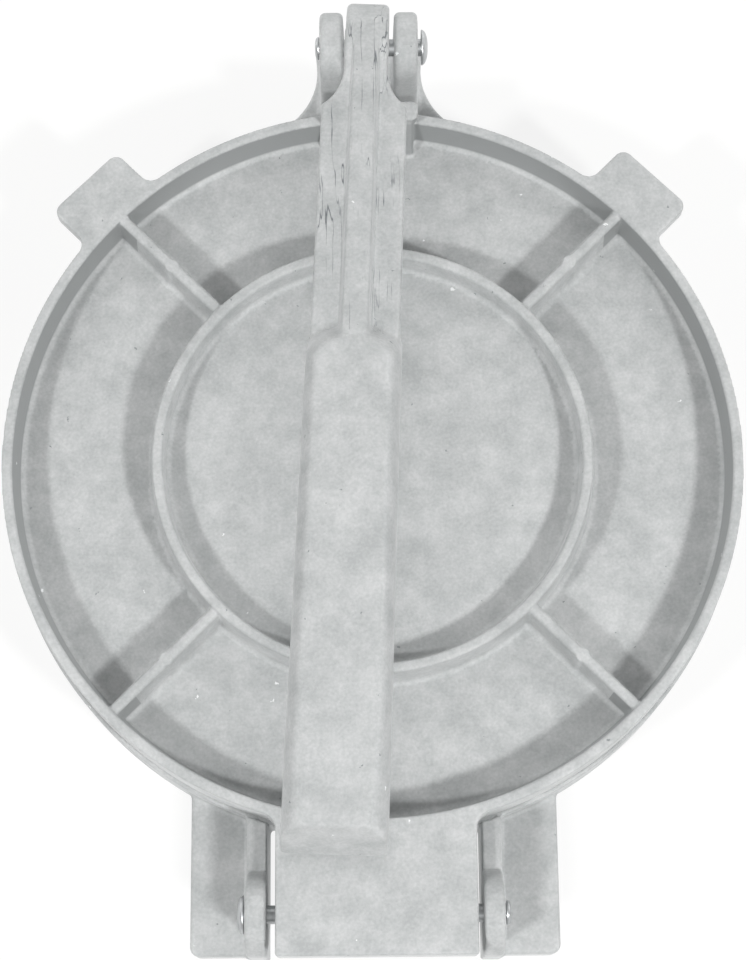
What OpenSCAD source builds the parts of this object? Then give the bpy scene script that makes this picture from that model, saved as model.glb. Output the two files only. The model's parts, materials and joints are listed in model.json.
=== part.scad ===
// Cast aluminium tortilla press: a round base, a hinged top plate and a lever that presses it down.
// Millimetres, +Z up, the lever's clevis towards +Y. The origin is on the table, in the middle of the footprint.

/* [Plates] */
// Outer diameter of the top plate
plate_d = 199.6; // [196:0.2:200.4]
// Outer diameter of the base
base_d = 201.6; // [201.2:0.2:204]
// Height of the base, from the table to its pressing face
base_h = 16; // [15:0.5:17]
// Height of the top plate, from its pressing face to its rim
plate_h = 15; // [14:0.5:16]
// Gap between the pressing faces when the press is shut
press_gap = 0.5; // [0.4:0.1:1]
// Thickness of the base's disc
disc_t = 4; // [3:0.5:5]
// Width of the top plate's rim at its top
rim_w = 2.9; // [2.5:0.1:4]
// Depth of the outer floor below the rim
outer_depth = 10.5; // [9:0.5:11]
// Depth of the centre floor below the rim
centre_depth = 7.4; // [6:0.2:9]
// Draft angle of the cast walls
draft = 5; // [2:0.5:6]

/* [Ribs] */
// Radius of the middle of the ring rib
ring_r = 58; // [54:0.5:62]
// Width of every rib at its top
rib_w = 2.8; // [2.4:0.1:3.4]
// Radius of the fillet at the foot of a rib or rim
foot_r = 2.2; // [1.6:0.2:2.6]
// Radius of a cast edge
edge_r = 0.8; // [0.4:0.1:1]
// Diameter of the round mark that crosses each radial rib
mark_d = 3.4; // [3:0.1:4]
// Distance of that mark from the plate's centre
mark_r = 77.5; // [74:0.5:82]

/* [Tabs and boss] */
// Width of a lifting tab
tab_w = 24.6; // [20:0.2:28]
// Reach of a lifting tab from the plate's centre
tab_reach = 112.5; // [108:0.5:116]
// Thickness of a lifting tab
tab_t = 5; // [4:0.5:6]
// Angle of the right lifting tab from +X
tab_angle = 45; // [40:1:50]
// Width of the boss that the lever presses on
boss_w = 27.6; // [24:0.2:30]
// Height of that boss above the rim
boss_rise = 4.5; // [3.5:0.1:5]

/* [Plate hinge] */
// Distance of the hinge pin from the plates' centre
hinge_y = 120.5; // [119:0.5:122]
// Height of the hinge pin above the table
hinge_z = 20.5; // [20:0.1:21]
// Width of the tongue on the top plate
tongue_w = 52; // [46:1:54]
// Reach of the tongue from the plates' centre
tongue_reach = 131.5; // [130.5:0.5:133]
// Gap between the tongue and each ear
hinge_gap = 2; // [1:0.5:2]
// Thickness of a hinge ear
ear_t = 5.4; // [5:0.2:7]
// Radius of a hinge ear round the pin
ear_r = 11; // [10:0.1:11]
// Width over the two pads that carry the ears
pads_w = 97.6; // [92:0.2:102]
// Height of the pads above the table
pad_h = 10.5; // [9:0.5:11]
// Diameter of both hinge pins
pin_d = 4.8; // [4.4:0.1:5]

/* [Lever clevis] */
// Distance of the lever's pin from the plates' centre
pivot_y = 117; // [116.5:0.5:118]
// Height of the lever's pin above the table
pivot_z = 36; // [35.5:0.5:36]
// Gap between the inner faces of the clevis ears
clevis_gap = 14.5; // [14:0.1:15]
// Thickness of a clevis ear
clevis_t = 6.4; // [5.8:0.2:7]
// Radius of a clevis ear round the pin
clevis_r = 9.8; // [9:0.1:10.4]
// Height of the web that carries the clevis ears
web_h = 12; // [10:0.5:13]

/* [Lever] */
// Radius of the lever's hub round the pin
hub_r = 12.1; // [11.6:0.1:12.4]
// Width of the lever's hub
hub_w = 12; // [11:0.2:12.4]
// Height of the lever's underside above the pin
under_z = 1.4; // [1.3:0.1:2]
// Angle by which the lever drops towards its tip
lever_drop = 1.15; // [1:0.05:1.2]
// Angle by which the lever leans to the left in its clevis
lever_lean = 2.65; // [0:0.05:2.7]
// Thickness of the flange between hub and grip
flange_t = 6; // [4:0.1:6.4]
// Width of that flange at the hub end
flange_w = 23.5; // [22:0.1:24]
// Radius of the hollow sweep from the hub out to the flange
sweep_r = 13.4; // [12:0.1:15]
// Width of the raised rib along the flange
lever_rib_w = 7; // [5:0.5:8]
// Rise of that rib from the hub to the grip
lever_rib_rise = 3.6; // [2:0.1:4]
// Distance from the pin to the start of the grip
grip_start = 93; // [88:1:98]
// Distance from the pin to the tip
lever_len = 224; // [215:1:226]
// Width of the grip at its start
grip_w0 = 25.6; // [25:0.1:27]
// Width of the grip at its tip
grip_w1 = 27.6; // [26:0.1:29]
// Height of the grip
grip_h = 16.5; // [14:0.5:18]
// Radius of the grip's shoulders
shoulder_r = 7; // [6:0.5:9]
// Height of the face at the tip
tip_h = 11.5; // [10:0.5:12]
// Angle by which that face leans back
tip_lean = 20; // [10:1:25]

/* [Hidden] */
$fn = 96;

plate_r = plate_d / 2;
base_r = base_d / 2;
plate_z = base_h + press_gap;
outer_floor = plate_h - outer_depth;
centre_floor = plate_h - centre_depth;
ring_out = ring_r + rib_w / 2;
ring_in = ring_r - rib_w / 2;
rim_in = plate_r - rim_w;
fit = 0.08;               // radial clearance of a turning joint
loose = 0.05;             // radial clearance of a rivet in its ears
skirt_t = 3.5;            // wall of the base under its disc
under_rib_z = 3;          // the base's own ribs end this far above the table
ear_x = tongue_w / 2 + hinge_gap;
wall_top = 21.5;          // top of the low wall that ties each ear to the base
rib_drop = 0.9;           // the radial ribs end this far below the rim
clevis_x = clevis_gap / 2;
flare_r = 21.5;           // hollow sweep on each side of the clevis web
flare_x = clevis_x + clevis_t + 1.35 + flare_r;
flare_y = pivot_y + 5;
arm_offset = 0.4;         // the hub sits this far to the left in its clevis
head_d = 10;
head_h = 1.9;
tail_d = 6.4;
tail_h = 1.2;
head_gap = 0.7;           // a head stands off its ear by this much
rear_reach = pivot_y + hub_r * cos(lever_lean) + hub_w / 2 * sin(lever_lean);
mid_y = (rear_reach - tongue_reach) / 2;

// Points of an arc about (x, y), from one angle to another
function arc(x, y, r, from, to, steps = 5) =
    [for (i = [0:steps]) let (a = from + (to - from) * i / steps) [x + r * cos(a), y + r * sin(a)]];

// The same points seen in a mirror, in reverse order
function mirrored(points) = [for (i = [len(points) - 1:-1:0]) [-points[i][0], points[i][1]]];

// How far a drafted wall runs out over a height
function runout(h) = h * tan(draft);

// Half profile of a radial rib that stands on a floor, from its foot to the middle of its top.
// Its foot starts just under the floor. Foot and edge are a little tighter than the rim's.
function rib_side(floor_z, top_z) =
    let (wall_x = rib_w / 2 + runout(top_z - floor_z), r = foot_r - 0.3, e = edge_r - 0.15)
    concat(
        [[wall_x + r, floor_z - 1]],
        arc(wall_x + r, floor_z + r - 0.05, r, 270, 180, 4),
        arc(rib_w / 2 - e, top_z - e, e, 0, 90, 5)
    );

// Outline of a lobe on a disc of radius r: straight sides, rounded corners, hollow fillets at the disc.
// It points along +Y.
function lobe_side(r, w, reach, corner, fillet) =
    let (
        fx = w / 2 + fillet,
        fy = sqrt(pow(r + fillet, 2) - fx * fx),
        turn = atan2(fy, fx)
    )
    concat(
        [[w / 2 - 2, r / 2]],
        arc(fx, fy, fillet, 180 + turn, 180, 6),
        arc(w / 2 - corner, reach - corner, corner, 0, 90, 6)
    );

module lobe(r, w, reach, corner, fillet, h) {
    side = lobe_side(r, w, reach, corner, fillet);
    difference() {
        linear_extrude(h) polygon(concat(side, mirrored(side)));
        translate([0, 0, -1]) cylinder(r = r - 1.5, h = h + 2, $fn = 180);
    }
}

// A bar along X whose end view is a list of (y, z) points
module bar(points, x0, x1) {
    translate([x0, 0, 0]) rotate([90, 0, 90]) linear_extrude(x1 - x0) polygon(points);
}

// A cylinder along X
module rod(r, x0, x1) {
    translate([x0, 0, 0]) rotate([0, 90, 0]) cylinder(r = r, h = x1 - x0);
}

// Four radial ribs between the ring rib and a rim
module radial_ribs(floor_z, top_z, to_r) {
    side = rib_side(floor_z, top_z);
    for (a = [45:90:315])
        rotate([0, 0, a]) translate([ring_r, 0, 0]) rotate([90, 0, 90])
            linear_extrude(to_r - ring_r) polygon(concat(side, mirrored(side)));
}

// Half section of the top plate, turned round its axis
module plate_disc() {
    outer_wall = rim_in - runout(outer_depth - foot_r);
    ring_foot_out = ring_out + runout(outer_depth - foot_r);
    ring_foot_in = ring_in - runout(centre_depth - foot_r);
    rotate_extrude($fn = 180)
        polygon(concat(
            [[0, 0], [plate_r - 1.2, 0], [plate_r, 1.2]],
            arc(plate_r - edge_r, plate_h - edge_r, edge_r, 0, 90, 4),
            arc(rim_in + edge_r / 2, plate_h - edge_r / 2, edge_r / 2, 90, 180, 3),
            arc(outer_wall - foot_r, outer_floor + foot_r, foot_r, 0, -90),
            arc(ring_foot_out + foot_r, outer_floor + foot_r, foot_r, 270, 180),
            arc(ring_out - edge_r, plate_h - edge_r, edge_r, 0, 90, 4),
            arc(ring_in + edge_r, plate_h - edge_r, edge_r, 90, 180, 4),
            arc(ring_foot_in - foot_r, centre_floor + foot_r, foot_r, 0, -90),
            [[0, centre_floor]]
        ));
}

// The block at the back of the rim that the lever bears on, with a sloping front
module boss() {
    top = plate_h + boss_rise;
    points = concat(
        [[91, outer_floor - 1]],
        arc(97.6, top - 1.2, 1.2, 160, 90, 4),
        arc(plate_r - 0.2, top - 1.2, 1.2, 90, 0, 4),
        [[plate_r + 1, plate_h - 6], [plate_r - 1, plate_h - 9], [plate_r - 1, outer_floor - 1]]
    );
    bar(points, -boss_w / 2, boss_w / 2);
}

// The wide tongue at the front: flat on top, with a barrel round the hinge pin under it
module tongue() {
    pin = hinge_z - plate_z;
    barrel_r = tongue_reach - hinge_y;
    side_view = concat(
        [[-plate_r / 2, 0]],
        arc(-hinge_y, pin, barrel_r, -asin(pin / barrel_r), -180, 12),
        arc(edge_r - tongue_reach, plate_h - edge_r, edge_r, 180, 90, 4),
        [[-plate_r / 2, plate_h]]
    );
    intersection() {
        translate([0, 0, -20]) rotate([0, 0, 180]) lobe(plate_r, tongue_w, tongue_reach + 5, 1, 3, plate_h + 30);
        bar(side_view, -plate_r / 2, plate_r / 2);
    }
}

module top_plate_solid() {
    plate_disc();
    radial_ribs(outer_floor, plate_h - rib_drop, rim_in + 1);
    for (a = [45:90:315])
        rotate([0, 0, a]) translate([mark_r, 0, outer_floor]) cylinder(d = mark_d, h = outer_depth - rib_drop - 0.12);
    for (a = [tab_angle - 90, 90 - tab_angle])
        rotate([0, 0, a]) translate([0, 0, plate_h - tab_t])
            lobe(plate_r, tab_w, tab_reach, 3, 3, tab_t);
    tongue();
    boss();
}

module top_plate() {
    color("#c6cac7") translate([0, -mid_y, 0])
        difference() {
            translate([0, 0, plate_z]) top_plate_solid();
            translate([0, -hinge_y, hinge_z]) rod(pin_d / 2 + fit, -tongue_w, tongue_w);
        }
}

// Half section of the base, turned round its axis: a disc on a skirt, with a ring rib under it
module base_disc() {
    under = base_h - disc_t;
    skirt_in = base_r - skirt_t;
    rotate_extrude($fn = 180)
        polygon(concat(
            [[0, under], [ring_in - runout(under - under_rib_z), under]],
            arc(ring_in + edge_r, under_rib_z + edge_r, edge_r, 180, 270, 3),
            arc(ring_out - edge_r, under_rib_z + edge_r, edge_r, 270, 360, 3),
            [[ring_out + runout(under - under_rib_z), under]],
            arc(skirt_in - runout(under) - foot_r, under - foot_r, foot_r, 90, 0),
            [[skirt_in, 0], [base_r - 0.5, 0], [base_r, 0.5]],
            arc(base_r - 1, base_h - 1, 1, 0, 90, 4),
            [[0, base_h]]
        ));
}

module base_ribs() {
    half_foot = rib_w / 2 + runout(base_h - disc_t - under_rib_z);
    for (a = [45:90:315])
        rotate([0, 0, a]) translate([ring_r, 0, 0]) rotate([90, 0, 90])
            linear_extrude(base_r - 1.5 - ring_r)
                polygon([
                    [-half_foot, base_h - disc_t + 1], [-rib_w / 2, under_rib_z],
                    [rib_w / 2, under_rib_z], [half_foot, base_h - disc_t + 1]
                ]);
}

// The two pads at the front, with their hollow undersides
module pads() {
    difference() {
        rotate([0, 0, 180]) lobe(base_r, pads_w, tongue_reach - 0.5, 3.5, 4, pad_h);
        translate([-ear_x, -150, -1]) cube([2 * ear_x, 60, pad_h + 2]);
        for (side = [-1, 1])
            translate([side * (ear_x + ear_t + pads_w / 2 - skirt_t) / 2, -113, (pad_h - 4.5) / 2 - 0.5])
                cube([pads_w / 2 - skirt_t - ear_x - ear_t, 28, pad_h - 3.5], center = true);
    }
}

// One hinge ear and the low wall that ties it to the base, on the +X side
module hinge_ear() {
    round_r = 2.2;
    end_view = concat(
        [[ear_x, 2], [ear_x + ear_t, 2]],
        arc(ear_x + ear_t - round_r, wall_top - round_r, round_r, 0, 90),
        [[ear_x, wall_top]]
    );
    translate([ear_x, -hinge_y - ear_r, 2]) cube([ear_t, 2 * ear_r, hinge_z - 2]);
    translate([0, -hinge_y, hinge_z]) rod(ear_r, ear_x, ear_x + ear_t);
    difference() {
        translate([0, -90, 0]) rotate([90, 0, 0]) linear_extrude(hinge_y - 90) polygon(end_view);
        translate([0, 0, 1]) cylinder(r = base_r - 1.5, h = base_h - 2, $fn = 180);
        translate([0, 0, base_h - 2]) cylinder(r = base_r, h = 20, $fn = 180);
    }
}

// The web at the back, swept in on both sides from the base to the clevis ears
module clevis_web() {
    rear_y = pivot_y + clevis_r;
    rear_x = flare_x - flare_r - 0.4;
    side = concat(
        [[30, 70], [41, 91.5]],
        arc(flare_x, flare_y, flare_r, 229, 180, 8),
        [[rear_x, rear_y - 1], [rear_x - 1, rear_y]]
    );
    difference() {
        linear_extrude(web_h) polygon(concat(side, mirrored(side)));
        translate([0, 0, -1]) cylinder(r = base_r - 1.5, h = web_h + 2, $fn = 180);
        translate([0, 0, -1]) linear_extrude(web_h - 4)
            polygon([[-19, 104], [19, 104], [12, 112], [10.5, rear_y - 4], [-10.5, rear_y - 4], [-12, 112]]);
    }
}

// One clevis ear, on the +X side
module clevis_ear() {
    translate([clevis_x, pivot_y - clevis_r, web_h - 2])
        cube([clevis_t, 2 * clevis_r, pivot_z - web_h + 2]);
    translate([0, pivot_y, pivot_z]) rod(clevis_r, clevis_x, clevis_x + clevis_t);
}

module base() {
    color("#bfc4c1") translate([0, -mid_y, 0])
        difference() {
            union() {
                base_disc();
                base_ribs();
                pads();
                clevis_web();
                for (side = [0, 1]) mirror([side, 0, 0]) {
                    hinge_ear();
                    clevis_ear();
                }
            }
            translate([0, -hinge_y, hinge_z]) rod(pin_d / 2 + loose, -50, 50);
            translate([0, pivot_y, pivot_z]) rod(pin_d / 2 + loose, -30, 30);
        }
}

// A thin slice of the grip at a distance from the pin: flat underside, upright sides, rounded shoulders
module grip_slice(at, w, h, r) {
    k = w / 2;
    side = concat(
        arc(k - 1, 1, 1, 270, 360, 3),
        arc(k - r, h - r, r, 5, 90, 8)
    );
    translate([0, -at, 0]) rotate([90, 0, 0]) linear_extrude(0.1) polygon(concat(side, mirrored(side)));
}

// The grip is level to near its tip, then turns down to a face that leans back
module grip() {
    face_top = lever_len - tip_h * tan(tip_lean);
    hull() {
        grip_slice(grip_start, grip_w0, grip_h, shoulder_r);
        grip_slice(face_top - 9, grip_w1, grip_h, shoulder_r);
        grip_slice(face_top - 1.2, grip_w1 - 0.9, tip_h + 1.3, shoulder_r - 1);
        grip_slice(face_top, grip_w1 - 1.9, tip_h, shoulder_r - 1);
        translate([1 - grip_w1 / 2, 0.1 - lever_len, 0]) cube([grip_w1 - 2, 0.1, 1]);
    }
}

// Plan of the flange: as wide as the hub at the pin, swept out to its full width, then widening slowly
module flange_plan() {
    neck = hub_w / 2 - 0.1;
    turn = acos((neck + sweep_r - flange_w / 2) / sweep_r);
    start = grip_start + 2;
    side = concat(
        [[neck, 0]],
        arc(neck + sweep_r, -9, sweep_r, 180, 180 + turn, 8),
        [[grip_w0 / 2 - 0.7, -start]]
    );
    polygon(concat(side, mirrored(side)));
}

// A thin slice of the raised rib at a distance from the pin, up to a height
module rib_slice(at, top) {
    k = lever_rib_w / 2;
    side = concat([[k + 0.6, under_z + 1]], arc(k - 1, top - 1, 1, 0, 90, 4));
    translate([0, -at, 0]) rotate([90, 0, 0]) linear_extrude(0.1) polygon(concat(side, mirrored(side)));
}

// The rib rises from the height of the hub to just under the top of the grip
module lever_rib() {
    hull() {
        rib_slice(0, hub_r - 0.1);
        rib_slice(grip_start + 1, hub_r + lever_rib_rise);
    }
}

module lever_solid() {
    rod(hub_r, -hub_w / 2, hub_w / 2);
    translate([0, 0, under_z]) {
        linear_extrude(flange_t) flange_plan();
        grip();
    }
    lever_rib();
}

module lever() {
    color("#cacdcb") translate([0, pivot_y - mid_y, pivot_z])
        difference() {
            translate([-arm_offset, 0, 0]) rotate([0, 0, -lever_lean]) rotate([lever_drop, 0, 0])
                lever_solid();
            rod(pin_d / 2 + fit, -20, 20);
        }
}

// A rivet along X: a domed head beyond one ear, a spread tail beyond the other
module rivet(reach) {
    head_x = reach + head_gap;
    tail_x = -reach - 0.1;
    translate([tail_x - tail_h, 0, 0]) rotate([0, 90, 0])
        rotate_extrude($fn = 48)
            polygon(concat(
                [[0, 0], [tail_d / 2 - 0.8, 0], [tail_d / 2, 0.5], [tail_d / 2, tail_h], [pin_d / 2, tail_h]],
                [[pin_d / 2, head_x - tail_x + tail_h], [head_d / 2, head_x - tail_x + tail_h]],
                [[head_d / 2, head_x - tail_x + tail_h + 0.5]],
                [[head_d / 2 - 1, head_x - tail_x + tail_h + head_h - 0.5]],
                [[head_d / 2 - 2.6, head_x - tail_x + tail_h + head_h]],
                [[0, head_x - tail_x + tail_h + head_h]]
            ));
}

module plate_hinge_rivet() {
    color("#b4b8b9") translate([0, -hinge_y - mid_y, hinge_z]) mirror([1, 0, 0]) rivet(ear_x + ear_t);
}

module lever_rivet() {
    color("#b4b8b9") translate([0, pivot_y - mid_y, pivot_z]) rivet(clevis_x + clevis_t);
}

base();
top_plate();
lever();
plate_hinge_rivet();
lever_rivet();
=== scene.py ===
import json
import math

import bmesh
import bpy
import numpy as np
import openvdb
from mathutils import Matrix, Vector


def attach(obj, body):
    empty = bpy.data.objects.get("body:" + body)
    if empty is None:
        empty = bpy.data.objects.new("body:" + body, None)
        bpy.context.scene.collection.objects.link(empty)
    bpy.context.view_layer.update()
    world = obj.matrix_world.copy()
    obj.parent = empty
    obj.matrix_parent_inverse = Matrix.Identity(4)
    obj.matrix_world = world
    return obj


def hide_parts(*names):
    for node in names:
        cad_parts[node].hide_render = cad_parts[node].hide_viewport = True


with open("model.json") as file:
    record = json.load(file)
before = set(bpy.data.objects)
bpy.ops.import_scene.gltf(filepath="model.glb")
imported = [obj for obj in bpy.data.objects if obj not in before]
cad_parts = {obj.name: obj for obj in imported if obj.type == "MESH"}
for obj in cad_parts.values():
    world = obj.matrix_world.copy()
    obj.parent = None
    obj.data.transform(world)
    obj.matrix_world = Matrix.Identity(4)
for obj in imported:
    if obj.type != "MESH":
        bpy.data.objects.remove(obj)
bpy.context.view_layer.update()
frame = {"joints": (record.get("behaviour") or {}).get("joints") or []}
mm = 0.001
pins = {joint["name"]: [value / mm for value in joint["pos_m"]] for joint in frame["joints"]}
print("frame loaded")

# Each casting is a distance field in millimetres: solids are blended with real fillet radii, then meshed.
# In the plates x and y count from their middle and z from the table. In the lever all count from its pin.

hingeReach = 120.5                                       # from the plates' middle to the plate hinge
middleY = pins["plate_hinge"][1] + hingeReach            # the plates' middle in the frame
hinge = {"y": -hingeReach, "z": pins["plate_hinge"][2]}
pivot = {"y": pins["lever_hinge"][1] - middleY, "z": pins["lever_hinge"][2]}
pinRadius = 2.4
runningFit = 0.08
diagonal = 1 / math.sqrt(2)


def rounded(a, b, radius):                               # what is inside both, with a rounded edge
    corner = np.hypot(np.maximum(a + radius, 0), np.maximum(b + radius, 0))
    return np.minimum(np.maximum(a, b), -radius) + corner


def blended(a, b, radius):                               # both together, with a hollow fillet between them
    corner = np.hypot(np.maximum(radius - a, 0), np.maximum(radius - b, 0))
    return np.maximum(np.minimum(a, b), radius) - corner


def without(a, hole):                                    # a with a sharp-edged hole
    return np.maximum(a, -hole)


def sampled(low, high, step):                            # coordinates of a block of samples
    axes = [np.arange(l, h + step, step, dtype=np.float32) for l, h in zip(low, high)]
    return np.meshgrid(*axes, indexing="ij", sparse=True)


def fieldAt(field, places, low, step):                   # the field between its samples
    spots = (places - low) / step
    spots = np.clip(spots, 0, np.array(field.shape) - 1.001)         # just inside the last sample
    base = spots.astype(np.int64)
    part = spots - base
    total = np.zeros(len(places))
    for corner in range(8):
        shift = np.array([corner >> 2 & 1, corner >> 1 & 1, corner & 1])
        weight = np.prod(np.where(shift, part, 1 - part), axis=1)
        total += weight * field[tuple((base + shift).T)]
    return total


fine = 0.46                       # between samples, times the step of each casting
meshing = {
    "merging": 0.006,                                    # how far flat ground is made of larger faces
    "band": 3, "reach": 0.8,                             # kept field and its slope's reach, in samples
    "level": 0.9998, "nearlyLevel": 0.93, "facingUp": 0.5,          # upward part of a face's direction
    "largeFace": 1.6,                                    # in squared samples
}


def cornerNormals(mesh, normals, step):                  # the field's own, but upright on flat ground
    corners = np.empty(len(mesh.loops), dtype=np.int64)
    mesh.loops.foreach_get("vertex_index", corners)
    count = len(mesh.polygons)
    sizes = np.empty(count, dtype=np.int64)
    areas = np.empty(count)
    facing = np.empty(count * 3)
    mesh.polygons.foreach_get("loop_total", sizes)
    mesh.polygons.foreach_get("area", areas)
    mesh.polygons.foreach_get("normal", facing)
    upward = np.repeat(facing.reshape(-1, 3)[:, 2], sizes)
    large = np.repeat(areas, sizes) > meshing["largeFace"] * step ** 2
    level = np.zeros(len(normals), dtype=bool)
    level[corners[np.abs(upward) > meshing["level"]]] = True
    level = level[corners] | (large & (np.abs(upward) > meshing["nearlyLevel"]))
    level &= np.abs(upward) > meshing["facingUp"]
    flat = np.stack([upward * 0, upward * 0, np.sign(upward)], axis=1)
    return np.where(level[:, None], flat, normals[corners])


def meshOf(name, makeField, values, place):              # samples the block between the two corners of room
    step = fine * values["step"]
    low = np.array(values["room"][0], dtype=float)
    field = makeField(*sampled(low, values["room"][1], step))
    band = meshing["band"] * step
    grid = openvdb.FloatGrid(band)
    grid.copyFromArray(np.clip(field, -band, band).astype(np.float32))
    points, triangles, quads = grid.convertToPolygons(isovalue=0.0, adaptivity=meshing["merging"])
    places = points * step + low
    normals = np.stack([
        fieldAt(field, places + way, low, step) - fieldAt(field, places - way, low, step)
        for way in np.eye(3) * step * meshing["reach"]
    ], axis=1)
    normals /= np.maximum(np.linalg.norm(normals, axis=1, keepdims=True), 1e-9)
    mesh = bpy.data.meshes.new(name)
    faces = [list(face) for face in triangles] + [list(face) for face in quads]
    mesh.from_pydata(places.tolist(), [], faces)
    mesh.validate()
    mesh.update()
    middle = mesh.polygons[len(mesh.polygons) // 2]
    if Vector(normals[middle.vertices[0]]).dot(middle.normal) < 0:
        mesh.flip_normals()
    mesh.polygons.foreach_set("use_smooth", [True] * len(mesh.polygons))
    if len(mesh.vertices) == len(normals):
        mesh.normals_split_custom_set(cornerNormals(mesh, normals, step).tolist())
    mesh.transform(place)
    piece = bpy.data.objects.new(name, mesh)
    bpy.context.scene.collection.objects.link(piece)
    print(name, "made with", len(mesh.polygons), "faces")
    return piece


inFrame = Matrix.Translation((0, middleY * mm, 0)) @ Matrix.Scale(mm, 4)

plate = {
    "radius": 99.8, "face": 16.5, "rimTop": 31.5, "outerFloor": 21.0, "centreFloor": 24.1,
    "rimWidth": 2.9, "ringRadius": 58.0, "ribWidth": 2.8, "ribDrop": 0.9, "draft": 5.0,
    "foot": 1.6, "edge": 0.8, "wellEdge": 0.8, "ribEdge": 1.1, "corner": 0.5,
    "markRadius": 1.8, "markAt": 77.5, "markDrop": 0.1, "markEdge": 0.15,
    "tabWidth": 24.6, "tabReach": 112.5, "tabThick": 5.0, "tabAngles": (45.0, 135.0), "tabCorner": 3.0,
    "tabRoot": 50.0, "tabEdge": 1.0, "rootDepth": 1.8,
    "tongueWidth": 52.0, "tongueReach": 131.5, "tongueRoot": 60.0, "neckFillet": 3.0, "barrelFillet": 2.0,
    "bossWidth": 27.2, "bossTop": 35.9, "bossFront": 90.3, "bossBack": 101.0, "bossRun": 5.0, "bossEdge": 1.0,
    "bossInset": 1.3, "bossRoot": 18.5, "bossFillet": 1.0,
    "underTop": 25.5, "underRise": 3.0, "underRun": 2.2,
    "capFront": 95.2, "capThick": 3.2, "capSink": 1.0, "capCorner": 2.0, "capEdge": 1.5, "capFillet": 0.5,
    "room": ((-102, -134, 7), (102, 104, 38.5)), "step": 1.0,
}


def plateWells(p, x, y, z):                              # rim, ring and ribs standing on the two floors
    r = np.hypot(x, y)
    spread = (p["rimTop"] - z) * math.tan(math.radians(p["draft"]))
    rim = p["radius"] - p["rimWidth"] - spread - r
    ring = np.abs(r - p["ringRadius"]) - p["ribWidth"] / 2 - spread
    hoops = rounded(np.minimum(rim, ring), z - p["rimTop"], p["wellEdge"])
    ribTop = p["rimTop"] - p["ribDrop"]
    off = np.abs(np.abs(x) - np.abs(y)) * diagonal       # distance from the middle of the nearest rib
    ribs = rounded(off - p["ribWidth"] / 2 - spread, z - ribTop, p["ribEdge"])
    along = (np.abs(x) + np.abs(y)) * diagonal - p["markAt"]
    mark = np.hypot(off, along) - p["markRadius"] - spread
    mark = rounded(mark, z - ribTop + p["markDrop"], p["markEdge"])
    ribs = np.maximum(np.minimum(ribs, mark), p["ringRadius"] - r)
    floor = z - np.where(r < p["ringRadius"], p["centreFloor"], p["outerFloor"])
    return blended(blended(ribs, hoops, p["corner"]), floor, p["foot"])


def plateTab(p, side, x, y, z, angle):                   # a flat lifting tab, level with the rim
    turn = math.radians(angle)
    along = x * math.cos(turn) + y * math.sin(turn)
    across = np.abs(y * math.cos(turn) - x * math.sin(turn))
    plan = rounded(across - p["tabWidth"] / 2, along - p["tabReach"], p["tabCorner"])
    plan = np.maximum(plan, p["tabRoot"] - along)
    under = p["rimTop"] - p["tabThick"] - z
    tab = rounded(blended(side, plan, p["neckFillet"]), under, p["tabEdge"])
    return np.maximum(rounded(tab, z - p["rimTop"], p["edge"]), -side - p["rootDepth"])


def plateTongue(p, side, x, y, z):                       # flat on top, a barrel round the pin below
    barrelRadius = p["tongueReach"] - hingeReach
    barrel = np.hypot(y - hinge["y"], z - hinge["z"]) - barrelRadius
    front = np.maximum(-p["tongueReach"] - y, hinge["z"] - z)
    neck = np.maximum(hinge["y"] - y, p["face"] - z)
    profile = blended(np.minimum(barrel, front), neck, p["barrelFillet"])
    plan = np.maximum(np.abs(x) - p["tongueWidth"] / 2, y + p["tongueRoot"])
    tongue = rounded(blended(side, plan, p["neckFillet"]), profile, p["edge"])
    tongue = rounded(tongue, z - p["rimTop"], p["edge"])
    return np.maximum(np.maximum(tongue, -side - p["rootDepth"]), y + p["tongueRoot"])


def plateBoss(p, x, y, z):                               # the block that the lever presses on, under its cap
    rise = p["bossTop"] - p["outerFloor"]
    length = math.hypot(rise, p["bossRun"])
    front = ((p["bossFront"] - y) * rise + (z - p["outerFloor"]) * p["bossRun"]) / length
    under = (y - p["bossBack"]) * p["underRise"] - (z - p["underTop"]) * p["underRun"]
    under = under / math.hypot(p["underRise"], p["underRun"])
    back = np.maximum(y - p["bossBack"], under)
    wide = np.abs(x) - p["bossWidth"] / 2
    block = rounded(rounded(front, back, p["bossEdge"]), wide + p["bossInset"], p["bossEdge"])
    block = rounded(block, z - p["bossTop"] + p["capSink"], p["bossEdge"])
    cap = rounded(rounded(p["capFront"] - y, wide, p["capCorner"]), back, p["capEdge"])
    cap = np.maximum(rounded(cap, z - p["bossTop"], p["bossEdge"]), p["bossTop"] - p["capThick"] - z)
    return np.maximum(blended(block, cap, p["capFillet"]), p["bossRoot"] - z)


def topPlateField(x, y, z):
    p = plate
    side = np.hypot(x, y) - p["radius"]
    disc = rounded(rounded(plateWells(p, x, y, z), side, p["edge"]), p["face"] - z, p["edge"])
    solid = np.minimum(disc, plateTongue(p, side, x, y, z))
    for angle in p["tabAngles"]:
        solid = np.minimum(solid, plateTab(p, side, x, y, z, angle))
    solid = blended(solid, plateBoss(p, x, y, z), p["bossFillet"])
    bore = np.hypot(y - hinge["y"], z - hinge["z"]) - pinRadius - runningFit
    return without(solid, bore)


topPlate = meshOf("top_plate_casting", topPlateField, plate, inFrame)

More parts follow.
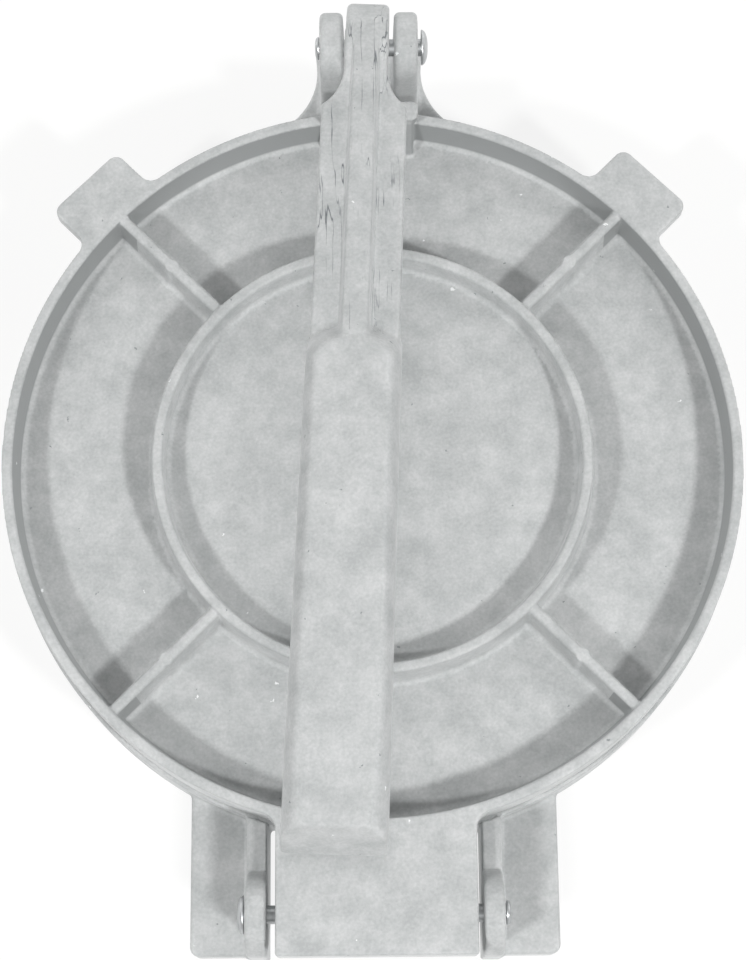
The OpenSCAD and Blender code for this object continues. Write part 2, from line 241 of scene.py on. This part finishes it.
base = {
    "radius": 100.79, "height": 16.0, "discThick": 4.0, "skirtThick": 3.5, "footEdge": 0.6,
    "ringRadius": 58.0, "ribWidth": 2.8, "ribEnd": 3.0, "ribEdge": 0.8,
    "draft": 5.0, "foot": 2.2, "edge": 0.9, "corner": 1.4,
    "padHalf": 48.8, "padReach": 130.6, "padHigh": 10.5, "padCorner": 2.6, "padEdge": 1.3, "padFillet": 1.3,
    "padPocketX": 41.4, "padPocketY": -114.0, "padPocketHalfX": 4.2, "padPocketHalfY": 13.0,
    "padPocketHigh": 6.0,
    "pocketCorner": 2.0, "pocketEdge": 1.0, "pocketRim": 0.6, "pocketDraft": 0.1,
    "earInner": 28.0, "earThick": 5.4, "earRadius": 11.0, "earFoot": 1.6, "earEdge": 1.2, "earInnerEdge": 0.8,
    "wallTop": 21.5, "wallEdge": 2.2, "lugShift": 0.5, "lugBack": 84.0,
    "forkInner": 7.1, "forkThick": 6.6, "forkRadius": 9.8, "forkEdge": 1.6, "forkFoot": 1.6,
    "forkDraft": 0.015, "forkRoot": 8.0, "webHigh": 12.0, "webInner": 86.0, "webEdge": 1.5, "webFillet": 2.0,
    "webPocketHalf": 10.5, "webPocketY": 114.5, "webPocketHalfY": 9.0, "webPocketHigh": 8.0,
    "flareX": 36.5, "flareY": 122.0, "flareRadius": 21.5, "flareTurn": 49.0, "flareRoom": 10.0,
    "rear": 127.0, "rearEdge": 0.8, "plateGap": 0.2, "pinFit": 0.05,
    "room": ((-103, -134, -2), (103, 130, 48)), "step": 1.1,
}


def baseDisc(b, x, y, z):                                # disc on a skirt, with a ring rib and ribs under it
    r = np.hypot(x, y)
    lean = math.tan(math.radians(b["draft"]))
    under = b["height"] - b["discThick"]
    skirt = b["radius"] - b["skirtThick"] - z * lean - r
    spread = (z - b["ribEnd"]) * lean
    ring = np.abs(r - b["ringRadius"]) - b["ribWidth"] / 2 - spread
    off = np.abs(np.abs(x) - np.abs(y)) * diagonal
    ribs = np.maximum(off - b["ribWidth"] / 2 - spread, b["ringRadius"] - r)
    hung = rounded(blended(ribs, ring, b["corner"]), b["ribEnd"] - z, b["ribEdge"])
    solid = blended(blended(hung, skirt, b["corner"]), under - z, b["foot"])
    return rounded(rounded(solid, z - b["height"], b["edge"]), r - b["radius"], b["edge"])


def hingeLugs(b, x, y, z):                               # the two pads, each with its ear and a low wall
    wide = np.abs(x + b["lugShift"])
    pad = rounded(wide - b["padHalf"], -b["padReach"] - y, b["padCorner"])
    pad = rounded(pad, z - b["padHigh"], b["padEdge"])
    across = np.abs(wide - b["padPocketX"]) - b["padPocketHalfX"]
    along = np.abs(y - b["padPocketY"]) - b["padPocketHalfY"]
    pocket = rounded(rounded(across, along, b["pocketCorner"]), z - b["padPocketHigh"], b["pocketEdge"])
    pad = rounded(pad, -pocket, b["pocketRim"])
    outer = b["earInner"] + b["earThick"]
    disc = np.hypot(y - hinge["y"], z - hinge["z"]) - b["earRadius"]
    leg = np.maximum(np.abs(y - hinge["y"]) - b["earRadius"], z - hinge["z"])
    ear = rounded(np.minimum(disc, leg), wide - outer, b["earEdge"])
    wall = rounded(wide - outer, z - b["wallTop"], b["wallEdge"])
    wall = np.maximum(wall, hinge["y"] - y)
    lug = blended(pad, np.minimum(ear, wall), b["earFoot"])
    lug = rounded(lug, b["earInner"] - wide, b["earInnerEdge"])
    lug = np.maximum(lug, hinge["y"] - b["earRadius"] - y)             # no blend past the ears' front
    return np.maximum(lug, y + b["lugBack"])


def leverFork(b, x, y, z):                               # web swept in from the base, with two ears on it
    wide = np.abs(x)
    turn = math.radians(b["flareTurn"])
    endX = b["flareX"] - b["flareRadius"] * math.cos(turn)
    endY = b["flareY"] - b["flareRadius"] * math.sin(turn)
    straight = (wide - endX) * math.cos(turn) + (y - endY) * math.sin(turn)
    onward = (wide - endX) * math.sin(turn) - (y - endY) * math.cos(turn)
    sweep = b["flareRadius"] - np.hypot(wide - b["flareX"], y - b["flareY"])
    hollow = np.maximum(sweep, wide - b["flareX"] + b["flareRoom"])
    plan = np.maximum(np.where(onward > 0, straight, hollow), b["webInner"] - y)
    web = rounded(plan, z - b["webHigh"], b["webEdge"])
    across = wide - b["webPocketHalf"] - (b["webPocketHigh"] - z) * b["pocketDraft"]
    along = np.abs(y - b["webPocketY"]) - b["webPocketHalfY"]
    pocket = rounded(rounded(across, along, b["pocketCorner"]), z - b["webPocketHigh"], b["pocketEdge"])
    web = rounded(web, -pocket, b["pocketRim"])
    middle = b["forkInner"] + b["forkThick"] / 2
    slab = np.abs(wide - middle) - b["forkThick"] / 2 - (pivot["z"] - z).clip(0) * b["forkDraft"]
    disc = np.hypot(y - pivot["y"], z - pivot["z"]) - b["forkRadius"]
    leg = np.maximum(np.abs(y - pivot["y"]) - b["forkRadius"], z - pivot["z"])
    ears = np.maximum(rounded(np.minimum(disc, leg), slab, b["forkEdge"]), b["forkRoot"] - z)
    return rounded(blended(web, ears, b["forkFoot"]), y - b["rear"], b["rearEdge"])


def baseField(x, y, z):
    b = base
    solid = baseDisc(b, x, y, z)
    solid = blended(solid, hingeLugs(b, x, y, z), b["padFillet"])
    solid = blended(solid, leverFork(b, x, y, z), b["webFillet"])
    solid = rounded(solid, -z, b["footEdge"])
    above = np.maximum(np.hypot(x, y) - b["radius"] - b["plateGap"], b["height"] - z)
    solid = without(solid, above)                        # the top plate lies there
    for pin in (hinge, pivot):
        solid = without(solid, np.hypot(y - pin["y"], z - pin["z"]) - pinRadius - b["pinFit"])
    return solid


baseCasting = meshOf("base_casting", baseField, base, inFrame)

lever = {
    "drop": 1.15, "lean": 2.65, "offset": 0.4, "under": 1.4,
    "hubRadius": 12.1, "hubHalf": 5.9, "hubEdge": 1.5,
    "flangeThick": 6.0, "flangeHalf": 11.75, "flangeSpread": 0.0045, "flangeCorner": 0.8, "edge": 1.2,
    "underEdge": 1.0, "neckHalf": 5.9, "throatAt": 9.0, "throatRadius": 13.35,
    "gussetEnd": 17.0, "gussetSlope": 0.25,
    "ribHalf": 3.4, "ribTop": 12.1, "ribRise": 4.4, "ribEdge": 0.9, "ribDraft": 0.12, "ribRoot": 1.0,
    "foot": 0.8, "armInGrip": 6.0, "gripFillet": 1.0,
    "gripStart": 89.5, "startArch": 5.0, "startEdge": 2.4, "startLean": 30.0,
    "length": 224.0, "gripHalf": 12.8, "gripEndHalf": 13.8, "gripHigh": 16.48, "gripEdge": 1.0,
    "shoulder": 4.2, "shoulderFall": 9.0, "endShoulder": 7.4, "endFall": 9.5, "tipRun": 40.0,
    "tipLean": 20.0, "tipEdge": 1.0,
    "room": ((-16, -227, -14), (16, 14, 21)), "step": 0.9,
}


def leverArm(v, wide, out, y, z):                        # hub, flange with its throat, and the rib on it
    high = z - v["under"]
    hub = rounded(np.hypot(y, z) - v["hubRadius"], wide - v["hubHalf"], v["hubEdge"])
    half = v["flangeHalf"] + (out - v["throatAt"]).clip(0) * v["flangeSpread"]
    throat = v["throatRadius"] - np.hypot(wide - v["neckHalf"] - v["throatRadius"], out - v["throatAt"])
    throat = np.where(out < v["throatAt"], wide - v["neckHalf"], throat)
    plan = np.maximum(rounded(wide - half, throat, v["flangeCorner"]), y)
    gusset = (v["gussetEnd"] - out).clip(0) * v["gussetSlope"]
    flange = rounded(plan, high - v["flangeThick"] - gusset, v["edge"])
    flange = rounded(flange, -high, v["underEdge"])
    crown = v["ribTop"] + v["ribRise"] * (out / v["gripStart"]).clip(0, 1)
    rib = rounded(wide - v["ribHalf"] - (crown - z) * v["ribDraft"], z - crown, v["ribEdge"])
    rib = np.maximum(rib, np.maximum(v["ribRoot"] - high, y))
    arm = np.maximum(blended(flange, rib, v["foot"]), out - v["gripStart"] - v["armInGrip"])
    return blended(arm, hub, v["foot"])


def leverGrip(v, wide, out, z):                          # its shoulders widen towards the tip
    high = z - v["under"]
    gone = ((out - v["gripStart"]) / (v["length"] - v["gripStart"])).clip(0, 1)
    half = v["gripHalf"] + (v["gripEndHalf"] - v["gripHalf"]) * gone
    near = ((out - v["length"] + v["tipRun"]) / v["tipRun"]).clip(0, 1) ** 2
    width = v["shoulder"] + (v["endShoulder"] - v["shoulder"]) * near
    fall = v["shoulderFall"] + (v["endFall"] - v["shoulderFall"]) * near
    grip = rounded(wide - half, (high - v["gripHigh"]) * width / fall, width)
    grip = rounded(grip, -high, v["gripEdge"])
    tilt = math.radians(v["tipLean"])
    grip = rounded(grip, (out - v["length"]) * math.cos(tilt) + high * math.sin(tilt), v["tipEdge"])
    lean = math.radians(v["startLean"])
    start = v["gripStart"] + v["startArch"] * (wide / v["gripHalf"]) ** 2
    start = (start - out) * math.cos(lean) + (high - v["gripHigh"]) * math.sin(lean)
    return rounded(grip, start, v["startEdge"])


def leverField(x, y, z):
    v = lever
    wide = np.abs(x)
    out = -y                                             # distance from the pin towards the tip
    return blended(leverArm(v, wide, out, y, z), leverGrip(v, wide, out, z), v["gripFillet"])


leverTurn = (
    Matrix.Rotation(math.radians(-lever["lean"]), 4, "Z")
    @ Matrix.Rotation(math.radians(lever["drop"]), 4, "X")
)
leverAt = (-lever["offset"] * mm, pins["lever_hinge"][1] * mm, pins["lever_hinge"][2] * mm)
leverPlace = Matrix.Translation(leverAt) @ Matrix.Scale(mm, 4) @ leverTurn
leverCasting = meshOf("lever_casting", leverField, lever, leverPlace)

rivet = {
    "head": 5.0, "headHigh": 1.9, "headGap": 1.0, "headFoot": 0.95, "headStep": 0.1,
    "domePower": 0.8, "domeFrom": 0.12, "domeShort": 0.02, "domeRings": 12,      # angles in radians
    "tail": 3.2, "tailHigh": 1.2, "tailGap": 0.1, "rounds": 64,
    "tailShape": ((1.0, 0.0), (1.0, 0.55), (0.8, 0.86), (0.35, 1.0), (0.0, 0.95)),
    "edge": 0.12, "edgeFrom": 40.0, "sharpFrom": 35.0,
}


def rivetPiece(name, reach, headSide, place):            # turned about X: domed head, long shank, spread tail
    v = rivet
    head = reach + v["headGap"]
    tail = -reach - v["tailGap"]
    angles = np.linspace(v["domeFrom"], math.pi / 2 - v["domeShort"], v["domeRings"])
    dome = [(head + v["headHigh"] * math.sin(a), v["head"] * math.cos(a) ** v["domePower"]) for a in angles]
    profile = [(tail - v["tailHigh"] * high, v["tail"] * wide) for high, wide in v["tailShape"]]
    profile += [
        (tail, pinRadius), (head, pinRadius), (head, v["head"] * v["headFoot"]),
        (head + v["headStep"], v["head"]), *dome[1:-1], (head + v["headHigh"], 0.0),
    ]
    points = []
    faces = []
    count = v["rounds"]
    rings = []
    for at, radius in profile:
        if radius == 0.0:
            rings.append([len(points)] * count)
            points.append((headSide * at, 0.0, 0.0))
            continue
        rings.append(list(range(len(points), len(points) + count)))
        points += [(headSide * at, radius * math.cos(t), radius * math.sin(t))
                   for t in np.linspace(0, 2 * math.pi, count, endpoint=False)]
    for one, two in zip(rings, rings[1:]):
        for i in range(count):
            j = (i + 1) % count
            corners = [one[i], one[j], two[j], two[i]]
            faces.append(list(dict.fromkeys(corners)))
    mesh = bpy.data.meshes.new(name)
    mesh.from_pydata(points, [], faces)
    mesh.transform(place)
    mesh.update()
    piece = bpy.data.objects.new(name, mesh)
    bpy.context.scene.collection.objects.link(piece)
    bevel = piece.modifiers.new("soft edges", "BEVEL")
    bevel.width = v["edge"] * mm
    bevel.segments = 2
    bevel.angle_limit = math.radians(v["edgeFrom"])
    work = bmesh.new()
    work.from_mesh(mesh)
    bmesh.ops.recalc_face_normals(work, faces=work.faces)
    work.to_mesh(mesh)
    work.free()
    mesh.polygons.foreach_set("use_smooth", [True] * len(mesh.polygons))
    mesh.set_sharp_from_angle(angle=math.radians(v["sharpFrom"]))
    print(name, "made")
    return piece


def pinPlace(joint):
    return Matrix.Translation([value * mm for value in pins[joint]]) @ Matrix.Scale(mm, 4)


earsReach = base["earInner"] + base["earThick"]
forkReach = base["forkInner"] + base["forkThick"]
hingeRivet = rivetPiece("plate_hinge_rivet_turned", earsReach, -1, pinPlace("plate_hinge"))
leverRivet = rivetPiece("lever_rivet_turned", forkReach, 1, pinPlace("lever_hinge"))


def linear(hexColour):                                   # undoes the sRGB curve
    parts = [int(hexColour[i:i + 2], 16) / 255 for i in (1, 3, 5)]
    return [c / 12.92 if c <= 0.04045 else ((c + 0.055) / 1.055) ** 2.4 for c in parts] + [1.0]


def addNode(tree, kind, settings=None, links=None):      # inputs go by name, or by number where names repeat
    node = tree.nodes.new(kind)
    for key, value in (settings or {}).items():
        if isinstance(key, str) and hasattr(node, key):
            setattr(node, key, value)
        else:
            node.inputs[key].default_value = value
    for key, source in (links or {}).items():
        tree.links.new(source, node.inputs[key])
    return node


castLook = {
    # The third colour is painted shade, the darker colour of the rim's steep inner wall.
    "light": "#d4d5d5", "dark": "#bfc1c1", "paintedWallShade": "#b0b2b2",
    "nick": "#eceded", "pit": "#a9adad", "crack": "#83878a",
    "roughness": 0.86, "toneSpan": 0.2, "seedShift": (370, 110, 230),
    "mottle": 9.0, "grain": 0.8, "grainDeep": 0.035, "wave": 4.0, "waveDeep": 0.05,      # in mm
    "nickSpacing": 7.0, "nickSize": 0.5, "nickShare": 0.2,
    "pitSpacing": 4.5, "pitSize": 0.4, "pitShare": 0.22, "pitDeep": 0.06,
    "markCore": 0.7, "ragged": 2.2, "raggedSize": 1.0, "grainShare": 0.45,
    "crackSpacing": 3.6, "crackStretch": 0.07, "crackWidth": 0.012, "crackDeep": 0.1,
    "crackArea": 16.0, "patchFrom": 0.48, "patchTo": 0.58,
    "crackFrom": 30.0,                                   # no cracks on the grip
    "wallFrom": 90.0, "wallTo": 98.3,                    # the rim's inner wall, from the plate's middle
    "steepFrom": 0.25, "steepTo": 0.55,                  # how far up a wall may face
}


def spotsOf(tree, place, look, kind):                    # round marks in this kind's share of the cells
    size = look[kind + "Size"] / look[kind + "Spacing"]
    cells = addNode(tree, "ShaderNodeTexVoronoi", {"Scale": 1 / look[kind + "Spacing"]}, {"Vector": place})
    near = addNode(tree, "ShaderNodeMapRange", {"From Min": size * look["markCore"], "From Max": size,
                                                "To Min": 1.0, "To Max": 0.0},
                   {"Value": cells.outputs["Distance"]})
    chance = addNode(tree, "ShaderNodeSeparateColor", {}, {"Color": cells.outputs["Color"]})
    chosen = addNode(tree, "ShaderNodeMath", {"operation": "LESS_THAN", 1: look[kind + "Share"]},
                     {0: chance.outputs["Red"]})
    marks = addNode(tree, "ShaderNodeMath", {"operation": "MULTIPLY"},
                    {0: near.outputs[0], 1: chosen.outputs[0]})
    return marks.outputs[0]


def cracksOf(tree, place, spot, look):                   # thin flow lines along the lever's arm, in patches
    drawn = addNode(tree, "ShaderNodeMapping", {"Scale": (1.0, look["crackStretch"], 1.0)}, {"Vector": place})
    lines = addNode(tree, "ShaderNodeTexNoise", {"Scale": 1 / look["crackSpacing"], "Detail": 3.0},
                    {"Vector": drawn.outputs[0]})
    off = addNode(tree, "ShaderNodeMath", {"operation": "SUBTRACT", 1: 0.5}, {0: lines.outputs["Fac"]})
    size = addNode(tree, "ShaderNodeMath", {"operation": "ABSOLUTE"}, {0: off.outputs[0]})
    line = addNode(tree, "ShaderNodeMapRange", {"From Min": 0.0, "From Max": look["crackWidth"],
                                                "To Min": 1.0, "To Max": 0.0}, {"Value": size.outputs[0]})
    area = addNode(tree, "ShaderNodeTexNoise", {"Scale": 1 / look["crackArea"], "Detail": 4.0},
                   {"Vector": place})
    patch = addNode(tree, "ShaderNodeMapRange", {"From Min": look["patchFrom"], "From Max": look["patchTo"]},
                    {"Value": area.outputs["Fac"]})
    split = addNode(tree, "ShaderNodeSeparateXYZ", {}, {"Vector": spot.outputs["Object"]})
    onArm = addNode(tree, "ShaderNodeMath", {"operation": "GREATER_THAN", 1: look["crackFrom"] * mm},
                    {0: split.outputs["Y"]})
    there = addNode(tree, "ShaderNodeMath", {"operation": "MULTIPLY"},
                    {0: patch.outputs[0], 1: onArm.outputs[0]})
    cracks = addNode(tree, "ShaderNodeMath", {"operation": "MULTIPLY"},
                     {0: line.outputs[0], 1: there.outputs[0]})
    return cracks.outputs[0]


def innerWallOf(tree, spot, look):                       # the rim's steep inner wall, where shade is painted: slightly darker
    flat = addNode(tree, "ShaderNodeVectorMath", {"operation": "MULTIPLY", 1: (1.0, 1.0, 0.0)},
                   {0: spot.outputs["Object"]})
    away = addNode(tree, "ShaderNodeVectorMath", {"operation": "DISTANCE", 1: (0.0, middleY * mm, 0.0)},
                   {0: flat.outputs[0]})
    inside = addNode(tree, "ShaderNodeMath", {"operation": "LESS_THAN", 1: look["wallTo"] * mm},
                     {0: away.outputs["Value"]})
    outside = addNode(tree, "ShaderNodeMath", {"operation": "GREATER_THAN", 1: look["wallFrom"] * mm},
                      {0: away.outputs["Value"]})
    facing = addNode(tree, "ShaderNodeSeparateXYZ", {}, {"Vector": spot.outputs["Normal"]})
    steep = addNode(tree, "ShaderNodeMapRange", {"From Min": look["steepFrom"], "From Max": look["steepTo"],
                                                 "To Min": 1.0, "To Max": 0.0},
                    {"Value": facing.outputs["Z"]})
    ringed = addNode(tree, "ShaderNodeMath", {"operation": "MULTIPLY"},
                     {0: inside.outputs[0], 1: outside.outputs[0]})
    wall = addNode(tree, "ShaderNodeMath", {"operation": "MULTIPLY"},
                   {0: ringed.outputs[0], 1: steep.outputs[0]})
    return wall.outputs[0]


def bareMetal(name, look):                               # a plain metal, before its colour and relief
    material = bpy.data.materials.new(name)
    material.use_nodes = True
    shader = material.node_tree.nodes["Principled BSDF"]
    shader.inputs["Metallic"].default_value = 1.0
    shader.inputs["Roughness"].default_value = look["roughness"]
    return material, shader


def linkSurface(tree, shader, colour, height):           # the height is in mm
    bump = addNode(tree, "ShaderNodeBump", {"Strength": 1.0, "Distance": mm}, {"Height": height})
    tree.links.new(colour, shader.inputs["Base Color"])
    tree.links.new(bump.outputs["Normal"], shader.inputs["Normal"])


def castAluminium(name, look, seed, cracked=False, wallShaded=False):
    # Cast aluminium, tumbled: matt pale grey that hardly varies, with a fine grain, shallow waves, nicks and
    # pits. Real grain is finer than a pixel, so it is drawn coarser, at 0.8 mm, to show at all.
    material, shader = bareMetal(name, look)
    tree = material.node_tree
    spot = addNode(tree, "ShaderNodeTexCoord")
    shift = [seed * value for value in look["seedShift"]]
    place = addNode(tree, "ShaderNodeMapping", {"Location": shift, "Scale": (1 / mm,) * 3},
                    {"Vector": spot.outputs["Object"]}).outputs[0]
    mottle = addNode(tree, "ShaderNodeTexNoise", {"Scale": 1 / look["mottle"], "Detail": 6.0,
                                                  "Roughness": 0.7}, {"Vector": place})
    grain = addNode(tree, "ShaderNodeTexNoise", {"Scale": 1 / look["grain"], "Detail": 3.0},
                    {"Vector": place}).outputs["Fac"]
    cloud = addNode(tree, "ShaderNodeMath", {"operation": "MULTIPLY_ADD", 1: look["grainShare"]},
                    {0: grain, 2: mottle.outputs["Fac"]})
    middle = 0.5 + 0.5 * look["grainShare"]              # of the two noises together
    tone = addNode(tree, "ShaderNodeValToRGB", {}, {"Fac": cloud.outputs[0]})
    ends = (-look["toneSpan"], look["toneSpan"])
    for element, at, hexColour in zip(tone.color_ramp.elements, ends, (look["dark"], look["light"])):
        element.position = middle + at
        element.color = linear(hexColour)
    colour = tone.outputs["Color"]
    wave = addNode(tree, "ShaderNodeTexNoise", {"Scale": 1 / look["wave"], "Detail": 2.0},
                   {"Vector": place}).outputs["Fac"]
    bend = addNode(tree, "ShaderNodeTexNoise", {"Scale": 1 / look["raggedSize"], "Detail": 2.0},
                   {"Vector": place})
    bent = addNode(tree, "ShaderNodeVectorMath", {"operation": "MULTIPLY_ADD", 1: (look["ragged"],) * 3},
                   {0: bend.outputs["Color"], 2: place}).outputs[0]
    nicks = spotsOf(tree, bent, look, "nick")
    pits = spotsOf(tree, bent, look, "pit")
    height = addNode(tree, "ShaderNodeMath", {"operation": "MULTIPLY", 1: look["grainDeep"]},
                     {0: grain}).outputs[0]
    layers = [(nicks, look["nick"]), (pits, look["pit"])]
    reliefs = [(wave, look["waveDeep"]), (pits, -look["pitDeep"])]
    if cracked:
        cracks = cracksOf(tree, place, spot, look)
        layers.append((cracks, look["crack"]))
        reliefs.append((cracks, -look["crackDeep"]))
    # painted shade: the rim's steep inner wall is coloured darker
    if wallShaded:
        layers.insert(0, (innerWallOf(tree, spot, look), look["paintedWallShade"]))
    for mask, hexColour in layers:
        colour = addNode(tree, "ShaderNodeMix", {"data_type": "RGBA", 7: linear(hexColour)},
                         {0: mask, 6: colour}).outputs[2]
    for relief, deep in reliefs:
        height = addNode(tree, "ShaderNodeMath", {"operation": "MULTIPLY_ADD", 1: deep},
                         {0: relief, 2: height}).outputs[0]
    linkSurface(tree, shader, colour, height)
    return material


steelLook = {
    "bright": "#cdcfd0", "dull": "#a9acad", "roughness": 0.38,
    "cloud": 2.5, "dent": 1.3, "dentDeep": 0.05,         # in mm
}


def rivetSteel(name, look):                              # mild steel, hammered over: dull, with small dents
    material, shader = bareMetal(name, look)
    tree = material.node_tree
    spot = addNode(tree, "ShaderNodeTexCoord")
    place = addNode(tree, "ShaderNodeMapping", {"Scale": (1 / mm,) * 3},
                    {"Vector": spot.outputs["Object"]}).outputs[0]
    cloud = addNode(tree, "ShaderNodeTexNoise", {"Scale": 1 / look["cloud"], "Detail": 4.0},
                    {"Vector": place})
    tone = addNode(tree, "ShaderNodeMix", {"data_type": "RGBA", 6: linear(look["dull"]),
                                           7: linear(look["bright"])}, {0: cloud.outputs["Fac"]})
    dents = addNode(tree, "ShaderNodeTexVoronoi", {"Scale": 1 / look["dent"]}, {"Vector": place})
    height = addNode(tree, "ShaderNodeMath", {"operation": "MULTIPLY", 1: look["dentDeep"]},
                     {0: dents.outputs["Distance"]})
    linkSurface(tree, shader, tone.outputs[2], height.outputs[0])
    return material


def dress(piece, material, body, node):
    piece.data.materials.clear()
    piece.data.materials.append(material)
    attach(piece, body)
    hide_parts(node)


dress(baseCasting, castAluminium("cast aluminium, base", castLook, 1), "base", "base")
# the top plate's material gets painted shade on the rim's inner wall
dress(topPlate, castAluminium("cast aluminium, top plate", castLook, 2, wallShaded=True),
      "top_plate", "top_plate")
dress(leverCasting, castAluminium("cast aluminium, lever", castLook, 3, cracked=True),
      "lever", "lever")
steel = rivetSteel("mild steel, riveted", steelLook)
dress(hingeRivet, steel, "base", "plate_hinge_rivet")
dress(leverRivet, steel, "base", "lever_rivet")
print("materials set")

studio = {
    "tilt": 15.25, "roll": 0.55, "distance": 591.4, "lens": 82.5, "sensor": 36, "nearest": 0.02,
    "shiftX": 1 / 960, "shiftY": -25.8 / 960,
    "lamps": {"left": (214.0, 46.0, 29.0), "right": (318.0, 49.0, 41.0)},       # azimuth, from the top, watts
    "lampDistance": 2400.0, "lampSize": 260.0,
    "ring": {0.4: 0.0, 0.52: 1.0, 0.69: 1.0, 0.8: 0.12, 1.0: 0.03}, "ringLevel": 1.2, "ringLean": 0.53,
    "wall": {0.0: 1.0, 0.24: 1.0, 0.34: 0.0}, "wallLevel": 1.8, "wallRun": 0.3, "dim": 0.1,
    "floor": "#e6e6e4", "floorRough": 0.9, "floorGlow": 0.8,
    "floorSpan": 30.0, "floorDrop": 0.0002,              # in metres
}

camera = bpy.data.objects.new("camera", bpy.data.cameras.new("camera"))
bpy.context.scene.collection.objects.link(camera)
camera.data.lens = studio["lens"]
camera.data.sensor_width = studio["sensor"]
camera.data.shift_x = studio["shiftX"]
camera.data.shift_y = studio["shiftY"]
camera.data.clip_start = studio["nearest"]
tilt = math.radians(studio["tilt"])
aim = Vector((0, middleY, plate["rimTop"])) * mm
camera.matrix_world = (
    Matrix.Translation(aim + Vector((0, -math.sin(tilt), math.cos(tilt))) * studio["distance"] * mm)
    @ Matrix.Rotation(tilt, 4, "X") @ Matrix.Rotation(math.radians(-studio["roll"]), 4, "Z")
)
bpy.context.scene.camera = camera

# In the photo only the top plate throws the lamps' shadows.
blockers = bpy.data.collections.new("lamp blockers")
blockers.objects.link(topPlate)
for side, (azimuth, fromTop, watts) in studio["lamps"].items():
    lamp = bpy.data.objects.new(side + " soft lamp", bpy.data.lights.new(side + " soft lamp", "AREA"))
    bpy.context.scene.collection.objects.link(lamp)
    lamp.data.shape = "DISK"
    lamp.data.size = studio["lampSize"] * mm
    lamp.data.energy = watts
    lamp.light_linking.blocker_collection = blockers
    turn = math.radians(azimuth)
    low = math.radians(fromTop)
    way = Vector((math.cos(turn) * math.sin(low), math.sin(turn) * math.sin(low), math.cos(low)))
    lamp.location = way * studio["lampDistance"] * mm
    lamp.rotation_euler = way.to_track_quat("Z", "Y").to_euler()

floorMesh = bpy.data.meshes.new("floor")
span = studio["floorSpan"]
corners = [(-span, -span, 0), (span, -span, 0), (span, span, 0), (-span, span, 0)]
floorMesh.from_pydata(corners, [], [(0, 1, 2, 3)])
floor = bpy.data.objects.new("floor", floorMesh)
bpy.context.scene.collection.objects.link(floor)
floor.location.z = -studio["floorDrop"]
paper = bpy.data.materials.new("matt white paper")       # lifted to white where seen, so shadows are faint
paper.use_nodes = True
tree = paper.node_tree
matt = tree.nodes["Principled BSDF"]
matt.inputs["Base Color"].default_value = linear(studio["floor"])
matt.inputs["Roughness"].default_value = studio["floorRough"]
seen = addNode(tree, "ShaderNodeLightPath")
direct = addNode(tree, "ShaderNodeMath", {"operation": "MAXIMUM"},
                 {0: seen.outputs["Is Camera Ray"], 1: seen.outputs["Is Glossy Ray"]})
either = addNode(tree, "ShaderNodeMath", {"operation": "MAXIMUM"},
                 {0: direct.outputs[0], 1: seen.outputs["Is Transmission Ray"]})
share = addNode(tree, "ShaderNodeMath", {"operation": "MULTIPLY", 1: studio["floorGlow"]},
                {0: either.outputs[0]})
glow = addNode(tree, "ShaderNodeEmission", {"Strength": 1.0})
both = addNode(tree, "ShaderNodeMixShader", {}, {0: share.outputs[0], 1: matt.outputs[0], 2: glow.outputs[0]})
tree.links.new(both.outputs[0], tree.nodes["Material Output"].inputs["Surface"])
floorMesh.materials.append(paper)

# The room gives a soft ring of light half way up, and a pale wall behind.
world = bpy.data.worlds.new("studio")
bpy.context.scene.world = world
world.use_nodes = True
tree = world.node_tree
way = addNode(tree, "ShaderNodeTexCoord")
split = addNode(tree, "ShaderNodeSeparateXYZ", {}, {"Vector": way.outputs["Generated"]})


def byHeight(stops):                                     # light against the sine of the height
    ramp = addNode(tree, "ShaderNodeValToRGB", {}, {"Fac": split.outputs["Z"]})
    while len(ramp.color_ramp.elements) < len(stops):
        ramp.color_ramp.elements.new(0.5)
    for element, (at, level) in zip(ramp.color_ramp.elements, stops.items()):
        element.position = at
        element.color = (level, level, level, 1.0)
    return ramp.outputs["Color"]


steepness = studio["ringLean"] * studio["ringLevel"]
lean = addNode(tree, "ShaderNodeMath", {"operation": "MULTIPLY_ADD", 1: steepness, 2: studio["ringLevel"]},
               {0: split.outputs["Y"]})
behind = addNode(tree, "ShaderNodeMapRange", {"From Min": 0.0, "From Max": studio["wallRun"], "To Min": 0.0,
                                              "To Max": studio["wallLevel"]}, {"Value": split.outputs["Y"]})
ring = addNode(tree, "ShaderNodeMath", {"operation": "MULTIPLY_ADD", 2: studio["dim"]},
               {0: byHeight(studio["ring"]), 1: lean.outputs[0]})
total = addNode(tree, "ShaderNodeMath", {"operation": "MULTIPLY_ADD"},
                {0: byHeight(studio["wall"]), 1: behind.outputs[0], 2: ring.outputs[0]})
tree.nodes["Background"].inputs["Color"].default_value = (1.0, 1.0, 1.0, 1.0)
tree.links.new(total.outputs[0], tree.nodes["Background"].inputs["Strength"])
bpy.context.scene.view_settings.view_transform = "Standard"
print("studio set")
